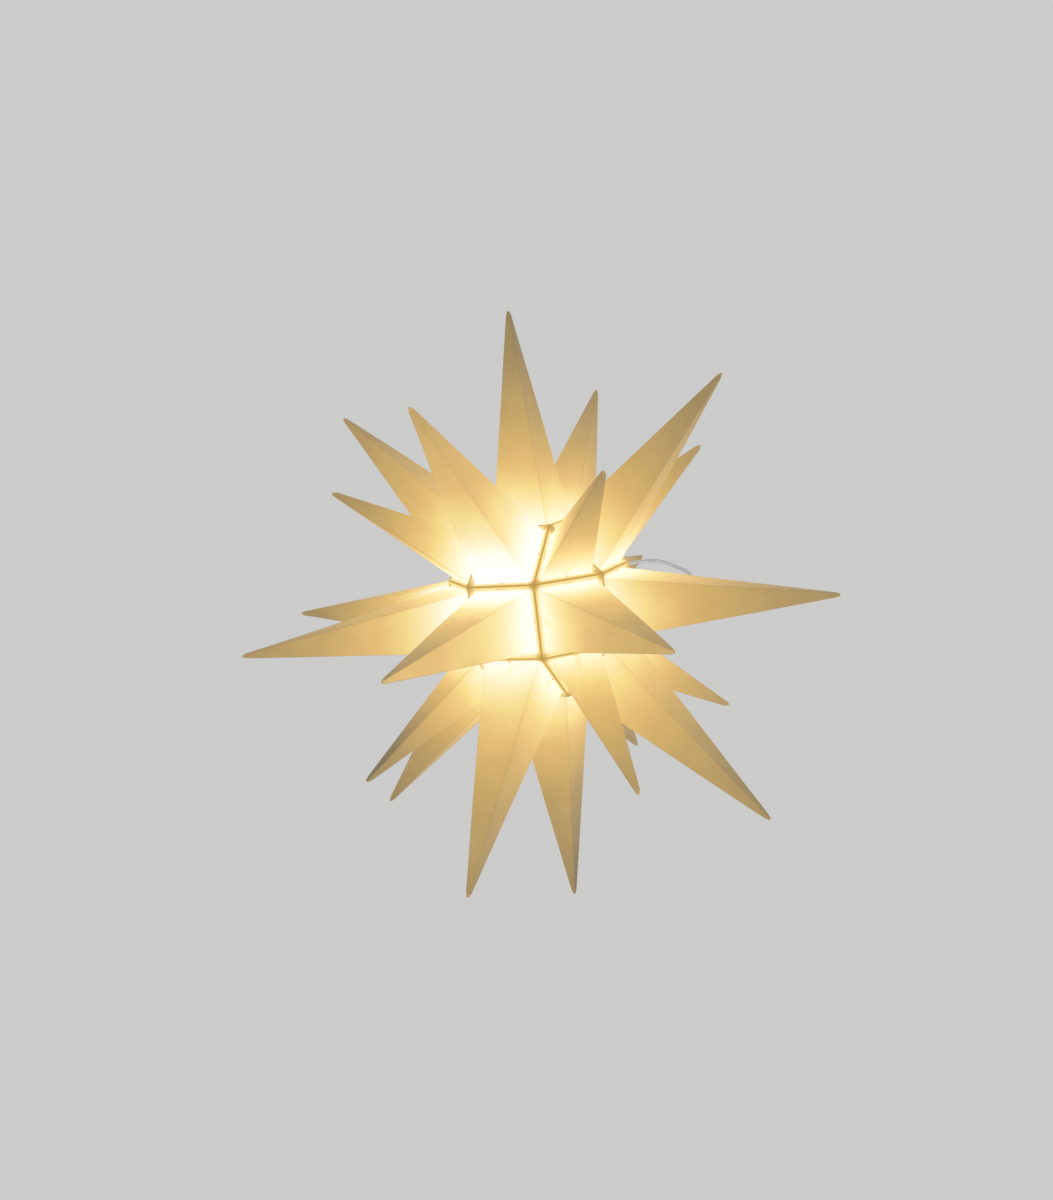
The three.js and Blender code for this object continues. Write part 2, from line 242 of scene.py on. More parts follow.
def shell_material():
    """Thin moulded plastic with light behind it."""
    n = Nodes("point_shell")
    loc = n.attr("loc", "Vector")
    along = n.scaled(loc, (26, 26, 1.6))
    streak = n.noise(along, 3.0, 3.0, 0.6)
    cloud = n.noise(loc, 3.4, 3.0, 0.55)
    fine = n.noise(loc, 60.0, 2.0, 0.5)
    level = n.attr("glow")
    k = n.math("ADD", n.range(streak, 0.3, 0.7, -0.035, 0.035), n.range(cloud, 0.3, 0.7, -0.05, 0.05))
    k = n.math("ADD", k, n.range(fine, 0.3, 0.7, -0.012, 0.012))
    k = n.math("ADD", k, 1.0)
    # painted shade: the glow is dimmed by up to a fifth along each arris, drawing thin darker lines there
    arris = n.math("MULTIPLY", n.attr("arris"), n.range(n.noise(loc, 9.0, 2.0, 0.5), 0.3, 0.7, 0.7, 1.0))
    k = n.math("MULTIPLY", k, n.math("MULTIPLY_ADD", arris, -0.20, 1.0))
    level = n.math("MULTIPLY", level, k)
    n.link(glow_colour(n, level, n.attr("deep")), n.bsdf.inputs["Emission Color"])
    n.bsdf.inputs["Emission Strength"].default_value = 1.0
    base = n.mix(n.range(cloud, 0.35, 0.65, 0, 1), (0.252, 0.215, 0.132), (0.278, 0.240, 0.148))
    base = n.mix(n.math("MULTIPLY", n.attr("deep"), 0.6), base, (0.19, 0.14, 0.06))
    n.link(base, n.bsdf.inputs["Base Color"])
    n.link(n.range(n.noise(loc, 14.0, 3.0, 0.5), 0.3, 0.7, 0.46, 0.60), n.bsdf.inputs["Roughness"])
    n.bsdf.inputs["IOR"].default_value = 1.35
    h = n.math("ADD", n.math("MULTIPLY", fine, 0.35), n.math("MULTIPLY", streak, 0.65))
    n.link(n.bump(h, 0.12, 0.0006), n.bsdf.inputs["Normal"])
    return n.mat


def lid_material():
    """The same plastic, thicker: lit by distance from the lamp, and shaded by the lampholder."""
    n = Nodes("lid_plastic")
    p = n.coord()
    d = n.new("ShaderNodeVectorMath", operation="DISTANCE")
    n.link(p, d.inputs[0])
    d.inputs[1].default_value = (0, 0, -HANG_Z * MM)
    r = n.math("MULTIPLY", d.outputs["Value"], 10.0)
    level = n.math("MULTIPLY", n.math("POWER", r, -2.6), 0.34)
    cloud = n.noise(p, 45.0, 3.0, 0.55)
    fine = n.noise(p, 900.0, 2.0, 0.5)
    level = n.math("MULTIPLY", level, n.range(cloud, 0.3, 0.7, 0.93, 1.07))
    flat = n.new("ShaderNodeVectorMath", operation="MULTIPLY")
    n.link(p, flat.inputs[0])
    flat.inputs[1].default_value = (1, 1, 0)
    out = n.new("ShaderNodeVectorMath", operation="LENGTH")
    n.link(flat.outputs[0], out.inputs[0])
    level = n.math("MULTIPLY", level, n.range(out.outputs["Value"], 0.009, 0.0185, 0.6, 1.0, True))
    n.link(glow_colour(n, level), n.bsdf.inputs["Emission Color"])
    n.bsdf.inputs["Emission Strength"].default_value = 1.0
    n.link(n.mix(n.range(cloud, 0.35, 0.65, 0, 1), (0.30, 0.245, 0.15), (0.34, 0.28, 0.175)), n.bsdf.inputs["Base Color"])
    n.link(n.range(n.noise(p, 160.0, 3.0, 0.5), 0.3, 0.7, 0.42, 0.56), n.bsdf.inputs["Roughness"])
    n.bsdf.inputs["IOR"].default_value = 1.4
    n.link(n.bump(fine, 0.15, 0.0004), n.bsdf.inputs["Normal"])
    return n.mat


def plastic(name, a, b, rough=(0.38, 0.52), cloud_scale=60.0, fine_scale=1400.0, bump=0.12, ior=1.48, turned=False, emit=None):
    n = Nodes(name)
    p = n.coord()
    cloud = n.noise(p, cloud_scale, 4.0, 0.6)
    fine = n.noise(p, fine_scale, 2.0, 0.5)
    n.link(n.mix(n.range(cloud, 0.3, 0.7, 0, 1), a, b), n.bsdf.inputs["Base Color"])
    n.link(n.range(n.noise(p, cloud_scale * 2.7, 3.0, 0.55), 0.3, 0.7, *rough), n.bsdf.inputs["Roughness"])
    n.bsdf.inputs["IOR"].default_value = ior
    h = fine
    if turned:
        rings = n.noise(n.scaled(p, (40, 40, 2600)), 1.0, 2.0, 0.5)
        h = n.math("ADD", n.math("MULTIPLY", fine, 0.5), n.math("MULTIPLY", rings, 0.5))
    n.link(n.bump(h, bump, 0.0004), n.bsdf.inputs["Normal"])
    if emit:
        n.bsdf.inputs["Emission Color"].default_value = (*emit, 1)
        n.bsdf.inputs["Emission Strength"].default_value = 1.0
    return n.mat


def metal(name, a, b, rough=(0.22, 0.4), stretch=(60, 60, 1200), bump=0.1, stain=None):
    n = Nodes(name)
    p = n.coord()
    brushed = n.noise(n.scaled(p, stretch), 1.0, 4.0, 0.6)
    cloud = n.noise(p, 90.0, 4.0, 0.6)
    col = n.mix(n.range(brushed, 0.3, 0.7, 0, 1), a, b)
    if stain:
        col = n.mix(n.range(cloud, 0.52, 0.75, 0, 0.7, True), col, stain)
    n.link(col, n.bsdf.inputs["Base Color"])
    n.bsdf.inputs["Metallic"].default_value = 1.0
    n.link(n.range(n.noise(p, 220.0, 3.0, 0.6), 0.3, 0.7, *rough), n.bsdf.inputs["Roughness"])
    n.link(n.bump(brushed, bump, 0.0003), n.bsdf.inputs["Normal"])
    return n.mat


def globe_material():
    """Frosted plastic ball, brightest over the board and darker at its neck."""
    n = Nodes("globe_plastic")
    p = n.coord()
    z = n.new("ShaderNodeSeparateXYZ")
    n.link(p, z.inputs[0])
    zc = (LAMP[2] - HANG_Z) * MM
    t = n.range(z.outputs[2], zc - 0.0175, zc + 0.0150, 1.0, 0.0, True)
    fine = n.noise(p, 700.0, 3.0, 0.6)
    t = n.math("ADD", t, n.range(fine, 0.3, 0.7, -0.03, 0.03))
    n.link(n.ramp(t, [(0.0, (0.92, 0.70, 0.36)), (0.25, (1.0, 0.90, 0.66)), (0.7, (1.0, 0.97, 0.86)), (1.0, (1.0, 0.95, 0.80))]), n.bsdf.inputs["Emission Color"])
    n.bsdf.inputs["Emission Strength"].default_value = 1.0
    n.link(n.mix(n.range(fine, 0.3, 0.7, 0, 1), (0.80, 0.76, 0.66), (0.84, 0.80, 0.70)), n.bsdf.inputs["Base Color"])
    n.bsdf.inputs["Roughness"].default_value = 0.5
    n.link(n.bump(fine, 0.15, 0.0003), n.bsdf.inputs["Normal"])
    return n.mat


MAT = {
    "point_shell": shell_material(),
    "lid_plastic": lid_material(),
    "steel_wire": metal("steel_wire", (0.60, 0.61, 0.63), (0.76, 0.77, 0.79), (0.2, 0.38), (900, 900, 60), 0.12, (0.42, 0.40, 0.37)),
    "gland_plastic": plastic("gland_plastic", (0.66, 0.63, 0.56), (0.74, 0.71, 0.64), (0.36, 0.5), 70, 1500, 0.16, 1.48, True),
    "rubber": plastic("rubber", (0.020, 0.019, 0.018), (0.034, 0.032, 0.030), (0.72, 0.9), 120, 2400, 0.3, 1.5),
    "holder_plastic": plastic("holder_plastic", (0.76, 0.73, 0.67), (0.82, 0.80, 0.74), (0.26, 0.36), 60, 1200, 0.08, 1.5, True),
    "block_plastic": plastic("block_plastic", (0.018, 0.018, 0.020), (0.030, 0.030, 0.032), (0.42, 0.6), 150, 2000, 0.2),
    "brass": metal("brass", (0.62, 0.43, 0.15), (0.74, 0.54, 0.22), (0.24, 0.42), (1400, 1400, 90), 0.12, (0.40, 0.27, 0.12)),
    "tinned_metal": metal("tinned_metal", (0.62, 0.63, 0.64), (0.74, 0.75, 0.76), (0.22, 0.36), (70, 70, 1600), 0.1, (0.5, 0.5, 0.48)),
    "lamp_plastic": plastic("lamp_plastic", (0.80, 0.80, 0.77), (0.85, 0.85, 0.82), (0.3, 0.42), 50, 1600, 0.08),
    "board": plastic("board", (0.78, 0.77, 0.70), (0.84, 0.83, 0.76), (0.4, 0.55), 90, 1800, 0.1, 1.45, False, (0.95, 0.82, 0.5)),
    "globe_plastic": globe_material(),
    "pin": metal("pin_brass", (0.80, 0.62, 0.30), (0.90, 0.73, 0.40), (0.3, 0.45), (900, 900, 900), 0.1),
}


# ------------------------------------------------------------------ mesh helpers
def make_object(name, verts, faces, material, smooth=True, attributes=None):
    mesh = bpy.data.meshes.new(name)
    mesh.from_pydata([tuple(v) for v in np.asarray(verts) * MM], [], faces)
    mesh.validate()
    mesh.update()
    mesh.materials.append(MAT[material])
    mesh.polygons.foreach_set("use_smooth", [smooth] * len(mesh.polygons))
    for key, (kind, values) in (attributes or {}).items():
        a = mesh.attributes.new(key, kind, "POINT")
        field = "vector" if kind == "FLOAT_VECTOR" else "value"
        a.data.foreach_set(field, np.asarray(values, np.float32).ravel())
    o = bpy.data.objects.new(name, mesh)
    scene.collection.objects.link(o)
    return o


def star_to_row(p):
    return np.asarray(p, float) - np.array([0, 0, HANG_Z])


def to_frame(d):
    p, q, r = d
    return np.array([-(p + r) / math.sqrt(2), q, (p - r) / math.sqrt(2)])


def unit(v):
    return np.asarray(v, float) / np.linalg.norm(v)


CORNERS = []
for _long in range(3):
    for _a in (-1, 1):
        for _b in (-1, 1):
            for _c in (-1, 1):
                _v = [_a, _b, _c]
                _v[_long] *= S
                CORNERS.append(to_frame(_v))


def basis(direction):
    """(side, axis, radial) of a point, as in the CAD: radial points to one corner of its face."""
    d = unit(to_frame(direction))
    best = None
    for v in CORNERS:
        if best is None or v @ d > best @ d + 1e-9:
            best = v
    radial = unit(best - d * (best @ d))
    return np.cross(d, radial), d, radial


def ring(n, a, r, arc):
    """Rounded n-gon: distance a from the axis to a side, corner radius r. Returns (x, z) of each point, how near it
    is to an arris (1 on it), how near to a corner, and the side's number as a float."""
    r = min(r, a * 0.92)
    pts, edge, corner, face = [], [], [], []
    half = math.pi / n
    rc = (a - r) / math.cos(half)
    for k in range(n):
        phi = 2 * math.pi * k / n
        cx, cz = rc * math.sin(phi), rc * math.cos(phi)
        for i in range(arc):
            u = 2 * i / (arc - 1) - 1
            t = half * u
            pts.append((cx + r * math.sin(phi + t), cz + r * math.cos(phi + t)))
            edge.append((1.0 - abs(u)) ** 0.8)
            corner.append(1.0)
            face.append(k - 0.5 + i / (arc - 1))
        mid = phi + half
        ux, uz = math.cos(mid), -math.sin(mid)
        nx, nz = math.sin(mid), math.cos(mid)
        w = (a - r) * math.tan(half)
        for f in SIDE_AT:
            s = -w + 2 * w * f
            pts.append((nx * a + ux * s, nz * a + uz * s))
            edge.append(0.0)
            corner.append(0.0)
            face.append(k + 0.5)
    return np.array(pts), np.array(edge), np.array(corner), np.array(face)


SIDE_AT = (0.06, 0.19, 0.38, 0.5, 0.62, 0.81, 0.94)



def point_names():
    dirs = []
    for p in (-1, 0, 1):
        for q in (-1, 0, 1):
            for r in (-1, 0, 1):
                size = abs(p) + abs(q) + abs(r)
                if size == 0 or (p, q, r) == (1, 0, -1):
                    continue
                dirs.append(((p, q, r), size, unit(to_frame((p, q, r)))))

    def turn(v):
        if math.hypot(v[0], v[1]) < 1e-6:
            return 0.0
        return (math.atan2(v[1], v[0]) + 2 * math.pi + 1e-6) % (2 * math.pi)

    dirs.sort(key=lambda e: (-round(e[2][2], 5), turn(e[2])))
    longs = shorts = 0
    out = []
    for d, size, _ in dirs:
        if size < 3:
            longs += 1
            out.append((d, 4, f"long_point_{longs:02d}"))
        else:
            shorts += 1
            out.append((d, 3, f"short_point_{shorts}"))
    return out


# The lamp, its holder and the pins light the sides of the points unevenly. Per point (in core axes) and side:
# how much more than the mean comes through at the foot, and how that changes towards the tip.
SIDES = {
    (-1, -1, 0): {2: (0.97, -0.12)},
    (-1, -1, 1): {2: (0.94, -1.5), 1: (0.9, -0.38)},
    (-1, 0, 0): {1: (1.69, -0.58)},
    (-1, 0, 1): {2: (0.95, -0.17), 1: (1.58, -0.33)},
    (-1, 1, 0): {1: (1.2, -0.01), 2: (1.07, -0.32)},
    (-1, 1, 1): {1: (1.33, -0.67)},
    (0, -1, 0): {1: (0.87, -0.77), 2: (0.76, 0.22)},
    (0, -1, 1): {1: (1.08, -0.16), 2: (1.14, -0.0)},
    (0, 0, 1): {1: (1.4, 0.72), 2: (1.85, -0.78)},
    (0, 1, 0): {1: (1.06, -0.29), 2: (0.88, -0.33)},
    (0, 1, 1): {1: (2.2, -0.25), 2: (1.65, 0.0)},
    (1, -1, 0): {0: (0.79, -0.18), 1: (0.79, 0.36)},
    (1, -1, 1): {0: (0.93, -0.04)},
    (1, 0, 0): {2: (0.9, 0.23)},
    (1, 0, 1): {1: (1.19, -0.16), 2: (0.96, 0.72)},
    (1, 1, 0): {2: (0.92, -0.13)},
    (1, 1, 1): {1: (1.25, -0.54), 2: (1.05, -0.33)},
}
USUAL = (1.08, -0.18)


def law(r):
    """Light through a side, r mm from the middle of the star."""
    return 1.118 * (r / 100.0) ** -2.6 + 0.213


def build_point(direction, n, name, index):
    side_v, axis_v, rad_v = basis(direction)
    if n == 4:
        inr, face, flare, tip = HALF_EDGE, FACE_SQ, FLARE_SQ, TIP_LONG
        arc = 5
    else:
        inr, face, flare, tip = HALF_EDGE / math.sqrt(3), FACE_TRI, FLARE_TRI, TIP_SHORT
        arc = 5
    off = 1 / math.cos(flare)
    g = SEAM_GAP / 2
    top = face * LIP_K
    base = inr - off * (g + LIP_T)
    slope = (base - TIP_FLAT) / (tip - face - ROOT)

    def wall(h):
        return TIP_FLAT + slope * (tip - h)

    def lip(o, h):
        return inr * h / face - off * o

    # rows: (distance of a side from the axis, height, corner radius, kind)
    rows = []
    e = 0.55
    rows.append((wall(face) - WALL, face, 1.2, "in"))
    rows.append((lip(g + 0.9, face), face, 0.5, "seam"))
    rows.append((lip(g - 0.06, face + 0.02), face + 0.02, 0.45, "seam"))
    rows.append((lip(g - 0.13, face + 0.35), face + 0.35, 0.45, "seam"))
    rows.append((lip(g - 0.13, face + (top - face) * 0.45), face + (top - face) * 0.45, 0.45, "seam"))
    rows.append((lip(g - 0.04, face + (top - face) * 0.66), face + (top - face) * 0.66, 0.45, "seam"))
    rows.append((lip(g, top - 0.95), top - 0.95, 0.5, "seam"))
    rows.append((lip(g + e * 0.22, top - 0.45), top - 0.45, 0.6, "edge"))
    rows.append((lip(g + e * 0.75, top - 0.12), top - 0.12, 0.7, "edge"))
    rows.append((lip(g + e * 1.5, top), top, 0.8, "lip"))
    rows.append((lip(g + LIP_T - 0.62, top), top, 0.9, "lip"))
    rows.append((lip(g + LIP_T - 0.22, top - 0.12), top - 0.12, 0.9, "lip"))
    rows.append((lip(g + LIP_T, top - 0.5), top - 0.5, 0.9, "lip2"))
    rows.append((lip(g + LIP_T, top - 1.6), top - 1.6, 0.9, "lip2"))
    # fillet between the lip and the side
    a0, h0 = lip(g + LIP_T, face + ROOT + 0.9), face + ROOT + 0.9
    a1, h1 = wall(face + ROOT + 0.9) - 0.05, face + ROOT + 1.3
    rows.append((a0, h0, 0.9, "root"))
    rows.append(((a0 * 2 + wall(face + ROOT)) / 3 - 0.02, face + ROOT + 0.42, 0.9, "root"))
    rows.append((min((a0 + a1 * 2) / 3, wall(face + ROOT + 0.5)), face + ROOT + 0.5, 0.9, "root"))
    rows.append((a1, h1, 0.95, "side"))
    body = 24 if n == 4 else 20
    last = tip - 2.6
    for i in range(1, body + 1):
        t = i / body
        h = h1 + (last - h1) * (t ** 1.12)
        crown = 0.16 * math.sin(math.pi * min(1.0, t * 1.02)) * (1 if n == 4 else 0.7)
        rows.append((wall(h) + crown * 0.4, h, 0.55 + 0.5 * (1 - t), "side"))
    # blunt tip
    q = TIP_FLAT
    rows.append((q + 0.07, tip - 1.9, 0.9, "tip"))
    rows.append((q + 0.02, tip - 1.15, 1.0, "tip"))
    rows.append((q * 0.84, tip - 0.5, 0.9, "tip"))
    rows.append((q * 0.52, tip - 0.14, 0.7, "tip"))
    outer_tip = len(rows)
    # the inside, from its apex down
    inner = []
    for i in range(9):
        t = i / 8
        h = (tip - 9) + (face - (tip - 9)) * t
        inner.append((max(wall(h) - WALL, 0.25), h, 0.8, "in"))
    inner_rows = inner[:-1]

    bend = rng.normal(0, 0.45, 2)
    twist = rng.normal(0, 0.010)
    phase = rng.uniform(0, 6.28, 2)
    shade = rng.uniform(0.12, 0.34, n)
    per_side = arc + len(SIDE_AT)
    verts, glow, deep, arris, loc = [], [], [], [], []
    rings = []

    def put(a, h, r, kind):
        pts, edge, corner, side_id = ring(n, a, r, arc)
        t = max(0.0, (h - face) / (tip - face))
        ca, sa = math.cos(twist * t), math.sin(twist * t)
        first = len(verts)
        rr = np.zeros(len(pts))
        for j, (x, z) in enumerate(pts):
            x, z = x * ca - z * sa, x * sa + z * ca
            wave = 0.05 * math.sin(h * 0.07 + phase[0]) if kind == "side" else 0.0
            x2 = x + bend[0] * t * t + wave
            z2 = z + bend[1] * t * t + wave * 0.6
            p = side_v * x2 + axis_v * h + rad_v * z2
            verts.append(star_to_row(p))
            level = light(p, kind, side_id[j], corner[j], h)
            if kind == "side" and j % per_side == arc + SIDE_AT.index(0.5):
                level *= 1 - shade[j // per_side] * math.exp(-((h - face - 7.5) / 3.2) ** 2)
            glow.append(level)
            d = {"side": 0.0, "tip": 0.0, "in": 0.0, "lip": 0.25, "lip2": 0.15, "edge": 0.7, "seam": 1.0, "root": 0.1}[kind]
            deep.append(max(d, corner[j]) if kind in ("lip", "edge", "seam") else d)
            arris.append(edge[j] if kind in ("side", "root") else 0.0)
            loc.append((x * MM * 10 + index * 1.37, z * MM * 10 + index * 0.71, h * MM * 10))
        rings.append((first, len(pts)))

    def light(p, kind, side_id, corner, h):
        r = float(np.linalg.norm(p))
        k = side_id - 0.5
        ks = [math.floor(k) % n, math.ceil(k) % n]
        w = k - math.floor(k)
        per = SIDES.get(direction, {})
        pair = [per.get(s, USUAL) for s in ks]
        gain = pair[0][0] * (1 - w) + pair[1][0] * w
        rise = pair[0][1] * (1 - w) + pair[1][1] * w
        t = (h - face) / (tip - face)
        full = law(r) * gain * math.exp(rise * max(0.0, t))
        if kind == "in":
            return min(8.0, law(r) * 1.6 + 0.4)
        if kind == "side":
            near = max(0.0, 1 - (h - (face + ROOT)) / 2.6)
            return full * (1 - 0.18 * near)
        if kind == "root":
            return min(full * 0.75, 3.4)
        if kind == "tip":
            return full * (1.1 if h < tip - 1 else 1.3)
        if kind == "lip":
            return 2.15 - 1.15 * corner
        if kind == "lip2":
            return 2.4 - 0.9 * corner
        if kind == "edge":
            return 1.0 - 0.35 * corner
        return 0.55 if h > face + 1.4 else 0.35

    for row in rows:
        put(*row)
    apex = len(verts)
    p = axis_v * tip + side_v * bend[0] + rad_v * bend[1]
    verts.append(star_to_row(p))
    glow.append(law(tip) * 1.2); deep.append(0.0); arris.append(0.0)
    loc.append((index * 1.37, index * 0.71, tip * MM * 10))
    inner_apex = len(verts)
    p = axis_v * (tip - 6) + side_v * bend[0] * 0.9 + rad_v * bend[1] * 0.9
    verts.append(star_to_row(p))
    glow.append(1.0); deep.append(0.0); arris.append(0.0)
    loc.append((index * 1.37, index * 0.71, (tip - 6) * MM * 10))
    n_outer = len(rings)
    for row in inner_rows:
        put(*row)

    faces = []

    def join(a, b):
        (fa, c), (fb, _) = rings[a], rings[b]
        for j in range(c):
            k = (j + 1) % c
            faces.append((fa + j, fa + k, fb + k, fb + j))

    for i in range(n_outer - 1):
        join(i, i + 1)
    f, c = rings[n_outer - 1]
    for j in range(c):
        faces.append((f + j, f + (j + 1) % c, apex))
    f, c = rings[n_outer]
    for j in range(c):
        faces.append((f + (j + 1) % c, f + j, inner_apex))
    for i in range(n_outer, len(rings) - 1):
        join(i, i + 1)
    join(len(rings) - 1, 0)

    # outward side of every face
    v = np.array(verts)
    vol = 0.0
    for fc in faces:
        for i in range(1, len(fc) - 1):
            vol += np.dot(v[fc[0]], np.cross(v[fc[i]], v[fc[i + 1]]))
    if vol < 0:
        faces = [tuple(reversed(fc)) for fc in faces]
    o = make_object(name + "_shell", verts, faces, "point_shell", True, {
        "glow": ("FLOAT", glow), "deep": ("FLOAT", deep), "arris": ("FLOAT", arris), "loc": ("FLOAT_VECTOR", loc),
    })
    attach(o, "star")
    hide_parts(name)
    return o


POINTS = point_names()
for i, (d, n, name) in enumerate(POINTS):
    build_point(d, n, name, i)


# ------------------------------------------------------------------ split pins
def seam_edges():
    """(middle, direction) of each edge of the core that joins two points."""
    lid = unit(to_frame((1, 0, -1)))
    out = []
    for i in range(len(CORNERS)):
        for j in range(i + 1, len(CORNERS)):
            a, b = CORNERS[i], CORNERS[j]
            if abs(np.linalg.norm(a - b) - 2.0) > 1e-6:
                continue
            m = (a + b) / 2
            if abs(m @ lid - S) < 1e-6:
                continue
            out.append((m * HALF_EDGE, unit(b - a)))
    return out


def build_pins():
    verts, faces = [], []

    def add_rings(rings, close=True):
        first = len(verts)
        c = len(rings[0])
        for r in rings:
            verts.extend(r)
        for i in range(len(rings) - 1):
            for j in range(c):
                a, b = first + i * c, first + (i + 1) * c
                faces.append((a + j, a + (j + 1) % c, b + (j + 1) % c, b + j))
        faces.append(tuple(reversed(range(first, first + c))))
        faces.append(tuple(first + (len(rings) - 1) * c + j for j in range(c)))

    for m, e in seam_edges():
        up = unit(m)
        nrm = np.cross(up, e)
        if rng.random() < 0.5:
            nrm = -nrm
            e = -e
        rho = np.linalg.norm(m) + 2.45 + rng.normal(0, 0.06)
        o = up * rho + e * rng.normal(0, 0.5)
        lip = SEAM_GAP / 2 + LIP_T

        def at(x, y, z):
            return star_to_row(o + e * x + up * y + nrm * z)

        # domed head on one lip
        seg = 16
        rings = []
        for r, z in ((0.98, 0.02), (1.06, 0.10), (1.02, 0.22), (0.80, 0.36), (0.48, 0.46), (0.17, 0.50)):
            rings.append([at(r * math.cos(2 * math.pi * j / seg), r * math.sin(2 * math.pi * j / seg), lip + z) for j in range(seg)])
        add_rings(rings)
        # two legs folded down on the other lip
        for sx in (-1, 1):
            lean = rng.normal(0, 0.05)
            rings = []
            for t in (0.0, 0.12, 0.3, 0.5, 0.7, 0.86, 0.96, 1.0):
                x = sx * (0.2 + 3.1 * t)
                w = 0.46 * (1 - max(0, t - 0.8) ** 2 * 18)
                th = 0.13 * (1 - max(0, t - 0.86) * 3)
                zc = -(lip + 0.17 + 0.06 * math.sin(math.pi * t))
                yc = lean * 4.4 * t
                rings.append([at(x, yc + w * math.cos(2 * math.pi * j / 10), zc + th * math.sin(2 * math.pi * j / 10)) for j in range(10)])
            add_rings(rings if sx > 0 else rings)
    o = make_object("split_pins", verts, faces, "pin")
    import bmesh
    bm = bmesh.new()
    bm.from_mesh(o.data)
    bmesh.ops.recalc_face_normals(bm, faces=bm.faces)
    bm.to_mesh(o.data)
    bm.free()
    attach(o, "star")


build_pins()


# ------------------------------------------------------------------ turned and bent hardware
FL = FACE_SQ + LID_T
GLAND_Z = FL + 0.3
HOLD_TOP = FACE_SQ - 0.8 - 0.3 - 3 - 0.3
RIM_Z = 3.5
GLOBE_R, GLOBE_Z = 17.5, -20.0


def rounded(profile, radius, sharp=()):
    """Fillets the corners of a closed (r, z) outline and adds a support point beside each, so that flats stay flat."""
    pts = [np.array(p, float) for p in profile]
    if np.allclose(pts[0], pts[-1]):
        pts = pts[:-1]
    n = len(pts)
    out = []
    for i, p in enumerate(pts):
        a, b = pts[i - 1], pts[(i + 1) % n]
        la, lb = np.linalg.norm(a - p), np.linalg.norm(b - p)
        if p[0] < 1e-6 or i in sharp or la < 1e-6 or lb < 1e-6:
            out.append(p)
            continue
        ua, ub = (a - p) / la, (b - p) / lb
        turn = math.acos(max(-1.0, min(1.0, float(-(ua @ ub)))))
        if turn < 0.12:
            out.append(p)
            continue
        cut = min(radius * math.tan(turn / 2), la * 0.42, lb * 0.42)
        s, e = p + ua * cut, p + ub * cut
        lead = min(0.12, la * 0.04, lb * 0.04)
        out.append(s + ua * lead)
        for t in (0.0, 0.2, 0.4, 0.6, 0.8, 1.0):
            out.append((1 - t) ** 2 * s + 2 * t * (1 - t) * p + t * t * e)
        out.append(e + ub * lead)
    return out


def turned(name, node, body, slot, profile, radius=0.35, seg=72, sharp=(), wave=None, closed=True):
    """A turned piece. wave(r, z, angle) may move a vertex in or out, such as for a thread."""
    outline = rounded(profile, radius, sharp)
    verts, faces, rings = [], [], []
    for r, z in outline:
        if r < 1e-6:
            rings.append((len(verts), 1))
            verts.append(star_to_row((0, 0, z)))
            continue
        rings.append((len(verts), seg))
        for j in range(seg):
            a = 2 * math.pi * j / seg
            rr = r if wave is None else wave(r, z, a)
            verts.append(star_to_row((rr * math.cos(a), rr * math.sin(a), z)))
    m = len(rings)
    for i in range(m):
        (fa, ca), (fb, cb) = rings[i], rings[(i + 1) % m]
        if ca == 1 and cb == 1:
            continue
        for j in range(seg):
            k = (j + 1) % seg
            if ca == 1:
                faces.append((fa, fb + j, fb + k))
            elif cb == 1:
                faces.append((fa + j, fb, fa + k))
            else:
                faces.append((fa + j, fb + j, fb + k, fa + k))
    v = np.array(verts)
    mid = v.mean(0)
    vol = sum(np.dot(v[f[0]] - mid, np.cross(v[f[i]] - mid, v[f[i + 1]] - mid)) for f in faces for i in range(1, len(f) - 1))
    if vol < 0:
        faces = [tuple(reversed(f)) for f in faces]
    o = make_object(name, verts, faces, slot)
    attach(o, body)
    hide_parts(node)
    return o


def bare_copy(node, name, slot):
    """A copy of a CAD mesh without its stored normals, which would not fit the changed faces."""
    mesh = frame["nodes"][node].data.copy()
    mesh.name = name
    mesh.materials.clear()
    mesh.materials.append(MAT[slot])
    for layer in ("custom_normal", "sharp_edge", "sharp_face"):
        if layer in mesh.attributes:
            mesh.attributes.remove(mesh.attributes[layer])
    return mesh


def eased_plate(name, node, body, slot, width=0.3, segments=2, angle=28):
    """The CAD shape with rounded edges, for a shape that is mostly flat: its flats are shaded flat."""
    import bmesh
    mesh = bare_copy(node, name, slot)
    o = bpy.data.objects.new(name, mesh)
    scene.collection.objects.link(o)
    bm = bmesh.new()
    bm.from_mesh(mesh)
    bmesh.ops.remove_doubles(bm, verts=bm.verts, dist=2e-6)
    bmesh.ops.dissolve_limit(bm, angle_limit=math.radians(1.0), verts=bm.verts, edges=bm.edges)
    bmesh.ops.connect_verts_concave(bm, faces=bm.faces)
    bm.normal_update()
    limit = math.radians(angle)
    sharp = [e for e in bm.edges if len(e.link_faces) == 2 and e.calc_face_angle(0.0) > limit]
    for f in bm.faces:
        f.smooth = f.calc_area() < 12e-6 and any(
            len(e.link_faces) == 2 and math.radians(2) < e.calc_face_angle(0.0) <= limit for e in f.edges)
    made = bmesh.ops.bevel(bm, geom=sharp, offset=width * MM, offset_type="OFFSET", segments=segments, profile=0.5,
                           affect="EDGES", clamp_overlap=True)
    for f in made["faces"]:
        f.smooth = f.calc_area() < 30e-6
    bmesh.ops.triangulate(bm, faces=[f for f in bm.faces if len(f.verts) > 4])
    bm.to_mesh(mesh)
    bm.free()
    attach(o, body)
    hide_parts(node)
    return o


